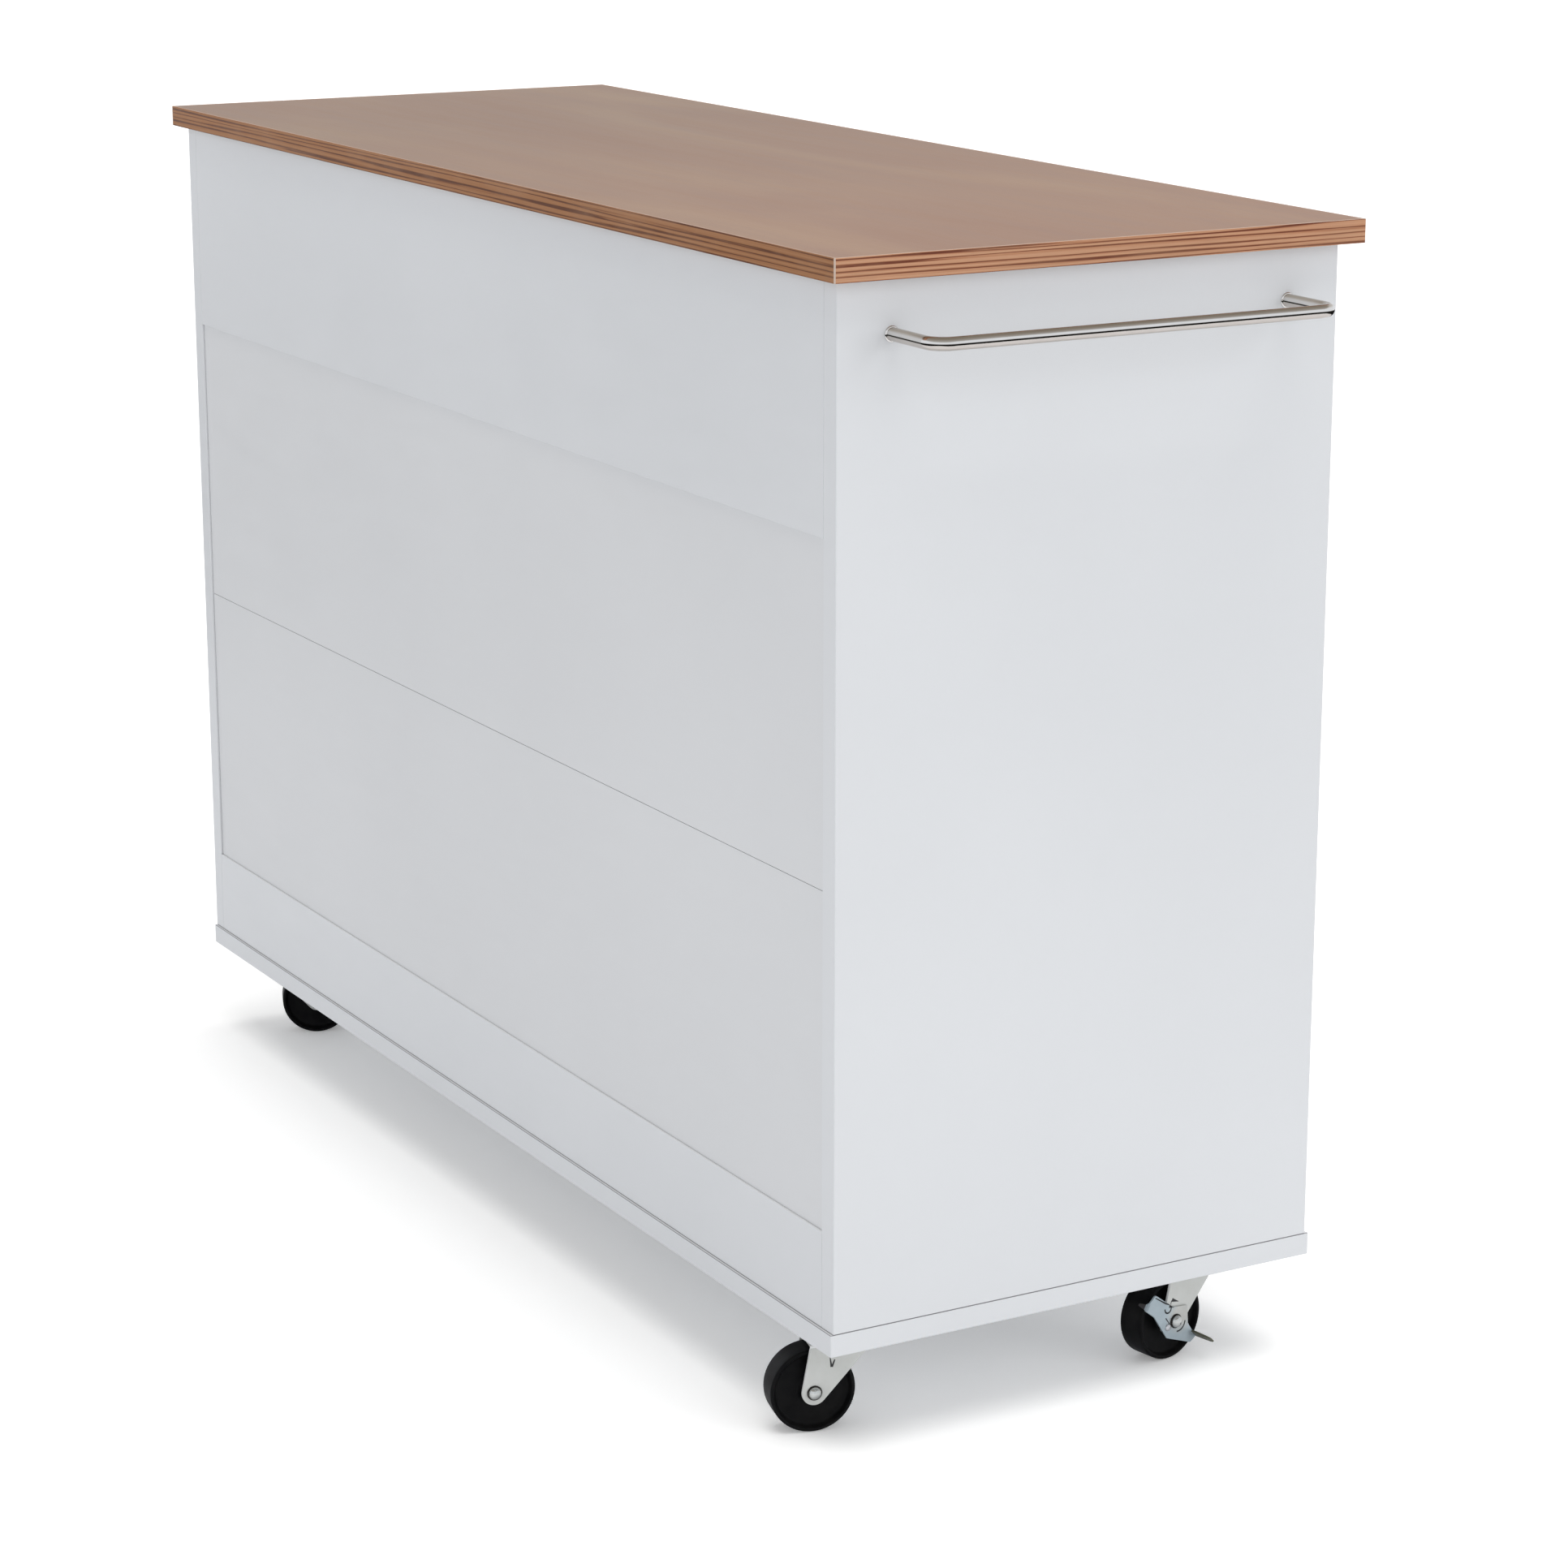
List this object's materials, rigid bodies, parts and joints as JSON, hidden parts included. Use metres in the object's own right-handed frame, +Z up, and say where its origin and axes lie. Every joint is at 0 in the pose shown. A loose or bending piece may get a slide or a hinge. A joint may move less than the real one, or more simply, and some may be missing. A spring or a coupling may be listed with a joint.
{
  "type": "rolling pantry cart",
  "caption": "Rolling pantry cart: white board cabinet on swivel casters with wood-look worktop, drawers over hinged doors, inner shelves and an end towel bar.",
  "frame": {"origin": "on the floor, under the middle of the cart's outer box", "axes": "+Z up, -Y towards the door side, +Y towards the plain back, -X towards the towel bar end"},
  "size_m": [1.314, 0.4895, 0.914],
  "materials": {
    "worktop_wood": "matt printed wood grain",
    "edge_band": "satin printed wood grain",
    "white_board": "satin white melamine",
    "back_hardboard": "matt white lacquer",
    "drawer_board": "matt white foil",
    "bright_metal": "polished plate",
    "zinc_steel": "bright zinc plate",
    "brake_zinc": "blue zinc plate",
    "fork_paint": "satin light grey",
    "wheel_plastic": "satin black"
  },
  "bodies": {
    "root": {"back_bottom_rail": "white_board", "back_top_rail": "white_board", "base_board": "white_board", "cabinet_hinge_leaves": "zinc_steel", "caster_kingpins": "zinc_steel", "caster_plates": "zinc_steel", "caster_screws": "zinc_steel", "centre_partition": "white_board", "drawer_cabinet_rails": "zinc_steel", "drawer_deck": "white_board", "drawer_partition": "white_board", "front_top_rail": "white_board", "left_shelf": "white_board", "left_side_panel": "white_board", "lower_back_panel": "back_hardboard", "right_shelf": "white_board", "right_side_panel": "white_board", "shelf_pins": "zinc_steel", "towel_bar": "bright_metal", "towel_bar_collars": "bright_metal", "towel_bar_screws": "zinc_steel", "upper_back_panel": "back_hardboard", "worktop": "worktop_wood", "worktop_edge_bands": "edge_band"},
    "back_left_caster": {"back_left_fork": "fork_paint", "back_left_axle": "zinc_steel"},
    "back_left_roller": {"back_left_wheel": "wheel_plastic"},
    "back_right_caster": {"back_right_fork": "fork_paint", "back_right_axle": "zinc_steel"},
    "back_right_roller": {"back_right_wheel": "wheel_plastic"},
    "front_left_caster": {"front_left_fork": "fork_paint", "front_left_axle": "zinc_steel"},
    "front_left_roller": {"front_left_wheel": "wheel_plastic"},
    "front_left_brake": {"front_left_brake_lever": "brake_zinc"},
    "front_right_caster": {"front_right_fork": "fork_paint", "front_right_axle": "zinc_steel"},
    "front_right_roller": {"front_right_wheel": "wheel_plastic"},
    "front_right_brake": {"front_right_brake_lever": "brake_zinc"},
    "left_drawer": {"left_drawer_front": "white_board", "left_drawer_box": "drawer_board", "left_drawer_bottom": "back_hardboard", "left_drawer_runners": "zinc_steel", "left_drawer_handle": "bright_metal"},
    "right_drawer": {"right_drawer_front": "white_board", "right_drawer_box": "drawer_board", "right_drawer_bottom": "back_hardboard", "right_drawer_runners": "zinc_steel", "right_drawer_handle": "bright_metal"},
    "left_outer_door_leaf": {"left_outer_door": "white_board", "left_outer_door_hinges": "zinc_steel", "left_outer_door_handle": "bright_metal"},
    "left_inner_door_leaf": {"left_inner_door": "white_board", "left_inner_door_hinges": "zinc_steel", "left_inner_door_handle": "bright_metal"},
    "right_inner_door_leaf": {"right_inner_door": "white_board", "right_inner_door_hinges": "zinc_steel", "right_inner_door_handle": "bright_metal"},
    "right_outer_door_leaf": {"right_outer_door": "white_board", "right_outer_door_hinges": "zinc_steel", "right_outer_door_handle": "bright_metal"}
  },
  "joints": [
    {"name": "back_left_swivel", "type": "hinge", "parent": "root", "child": "back_left_caster", "pos_m": [-0.5335, 0.179, 0.084], "axis": [0, 0, 1], "continuous": true},
    {"name": "back_left_spin", "type": "hinge", "parent": "back_left_caster", "child": "back_left_roller", "pos_m": [-0.526, 0.20908, 0.034], "axis": [-0.9703, 0.2419, 0], "continuous": true},
    {"name": "back_right_swivel", "type": "hinge", "parent": "root", "child": "back_right_caster", "pos_m": [0.5835, 0.179, 0.084], "axis": [0, 0, 1], "continuous": true},
    {"name": "back_right_spin", "type": "hinge", "parent": "back_right_caster", "child": "back_right_roller", "pos_m": [0.57239, 0.15006, 0.034], "axis": [0.9336, -0.3584, 0], "continuous": true},
    {"name": "front_left_swivel", "type": "hinge", "parent": "root", "child": "front_left_caster", "pos_m": [-0.5335, -0.1385, 0.084], "axis": [0, 0, 1], "continuous": true},
    {"name": "front_left_spin", "type": "hinge", "parent": "front_left_caster", "child": "front_left_roller", "pos_m": [-0.53941, -0.10807, 0.034], "axis": [-0.9816, -0.1908, 0], "continuous": true},
    {"name": "front_left_brake_swing", "type": "hinge", "parent": "front_left_caster", "child": "front_left_brake", "pos_m": [-0.55635, -0.1027, 0.0305], "axis": [0.9816, 0.1908, 0], "range_deg": [0, 12]},
    {"name": "front_right_swivel", "type": "hinge", "parent": "root", "child": "front_right_caster", "pos_m": [0.5835, -0.1385, 0.084], "axis": [0, 0, 1], "continuous": true},
    {"name": "front_right_spin", "type": "hinge", "parent": "front_right_caster", "child": "front_right_roller", "pos_m": [0.58728, -0.16927, 0.034], "axis": [0.9925, 0.1219, 0], "continuous": true},
    {"name": "front_right_brake_swing", "type": "hinge", "parent": "front_right_caster", "child": "front_right_brake", "pos_m": [0.6038, -0.1758, 0.0305], "axis": [-0.9925, -0.1219, 0], "range_deg": [0, 12]},
    {"name": "left_drawer_slide", "type": "slide", "parent": "root", "child": "left_drawer", "axis": [0, -1, 0], "range_m": [0, 0.28]},
    {"name": "right_drawer_slide", "type": "slide", "parent": "root", "child": "right_drawer", "axis": [0, -1, 0], "range_m": [0, 0.28]},
    {"name": "left_outer_door_hinge", "type": "hinge", "parent": "root", "child": "left_outer_door_leaf", "pos_m": [-0.5725, -0.214, 0.396], "axis": [0, 0, -1], "range_deg": [0, 110]},
    {"name": "left_inner_door_hinge", "type": "hinge", "parent": "root", "child": "left_inner_door_leaf", "pos_m": [0.0145, -0.214, 0.396], "axis": [0, 0, 1], "range_deg": [0, 82]},
    {"name": "right_inner_door_hinge", "type": "hinge", "parent": "root", "child": "right_inner_door_leaf", "pos_m": [0.0355, -0.214, 0.396], "axis": [0, 0, -1], "range_deg": [0, 82]},
    {"name": "right_outer_door_hinge", "type": "hinge", "parent": "root", "child": "right_outer_door_leaf", "pos_m": [0.6225, -0.214, 0.396], "axis": [0, 0, 1], "range_deg": [0, 110]}
  ]
}
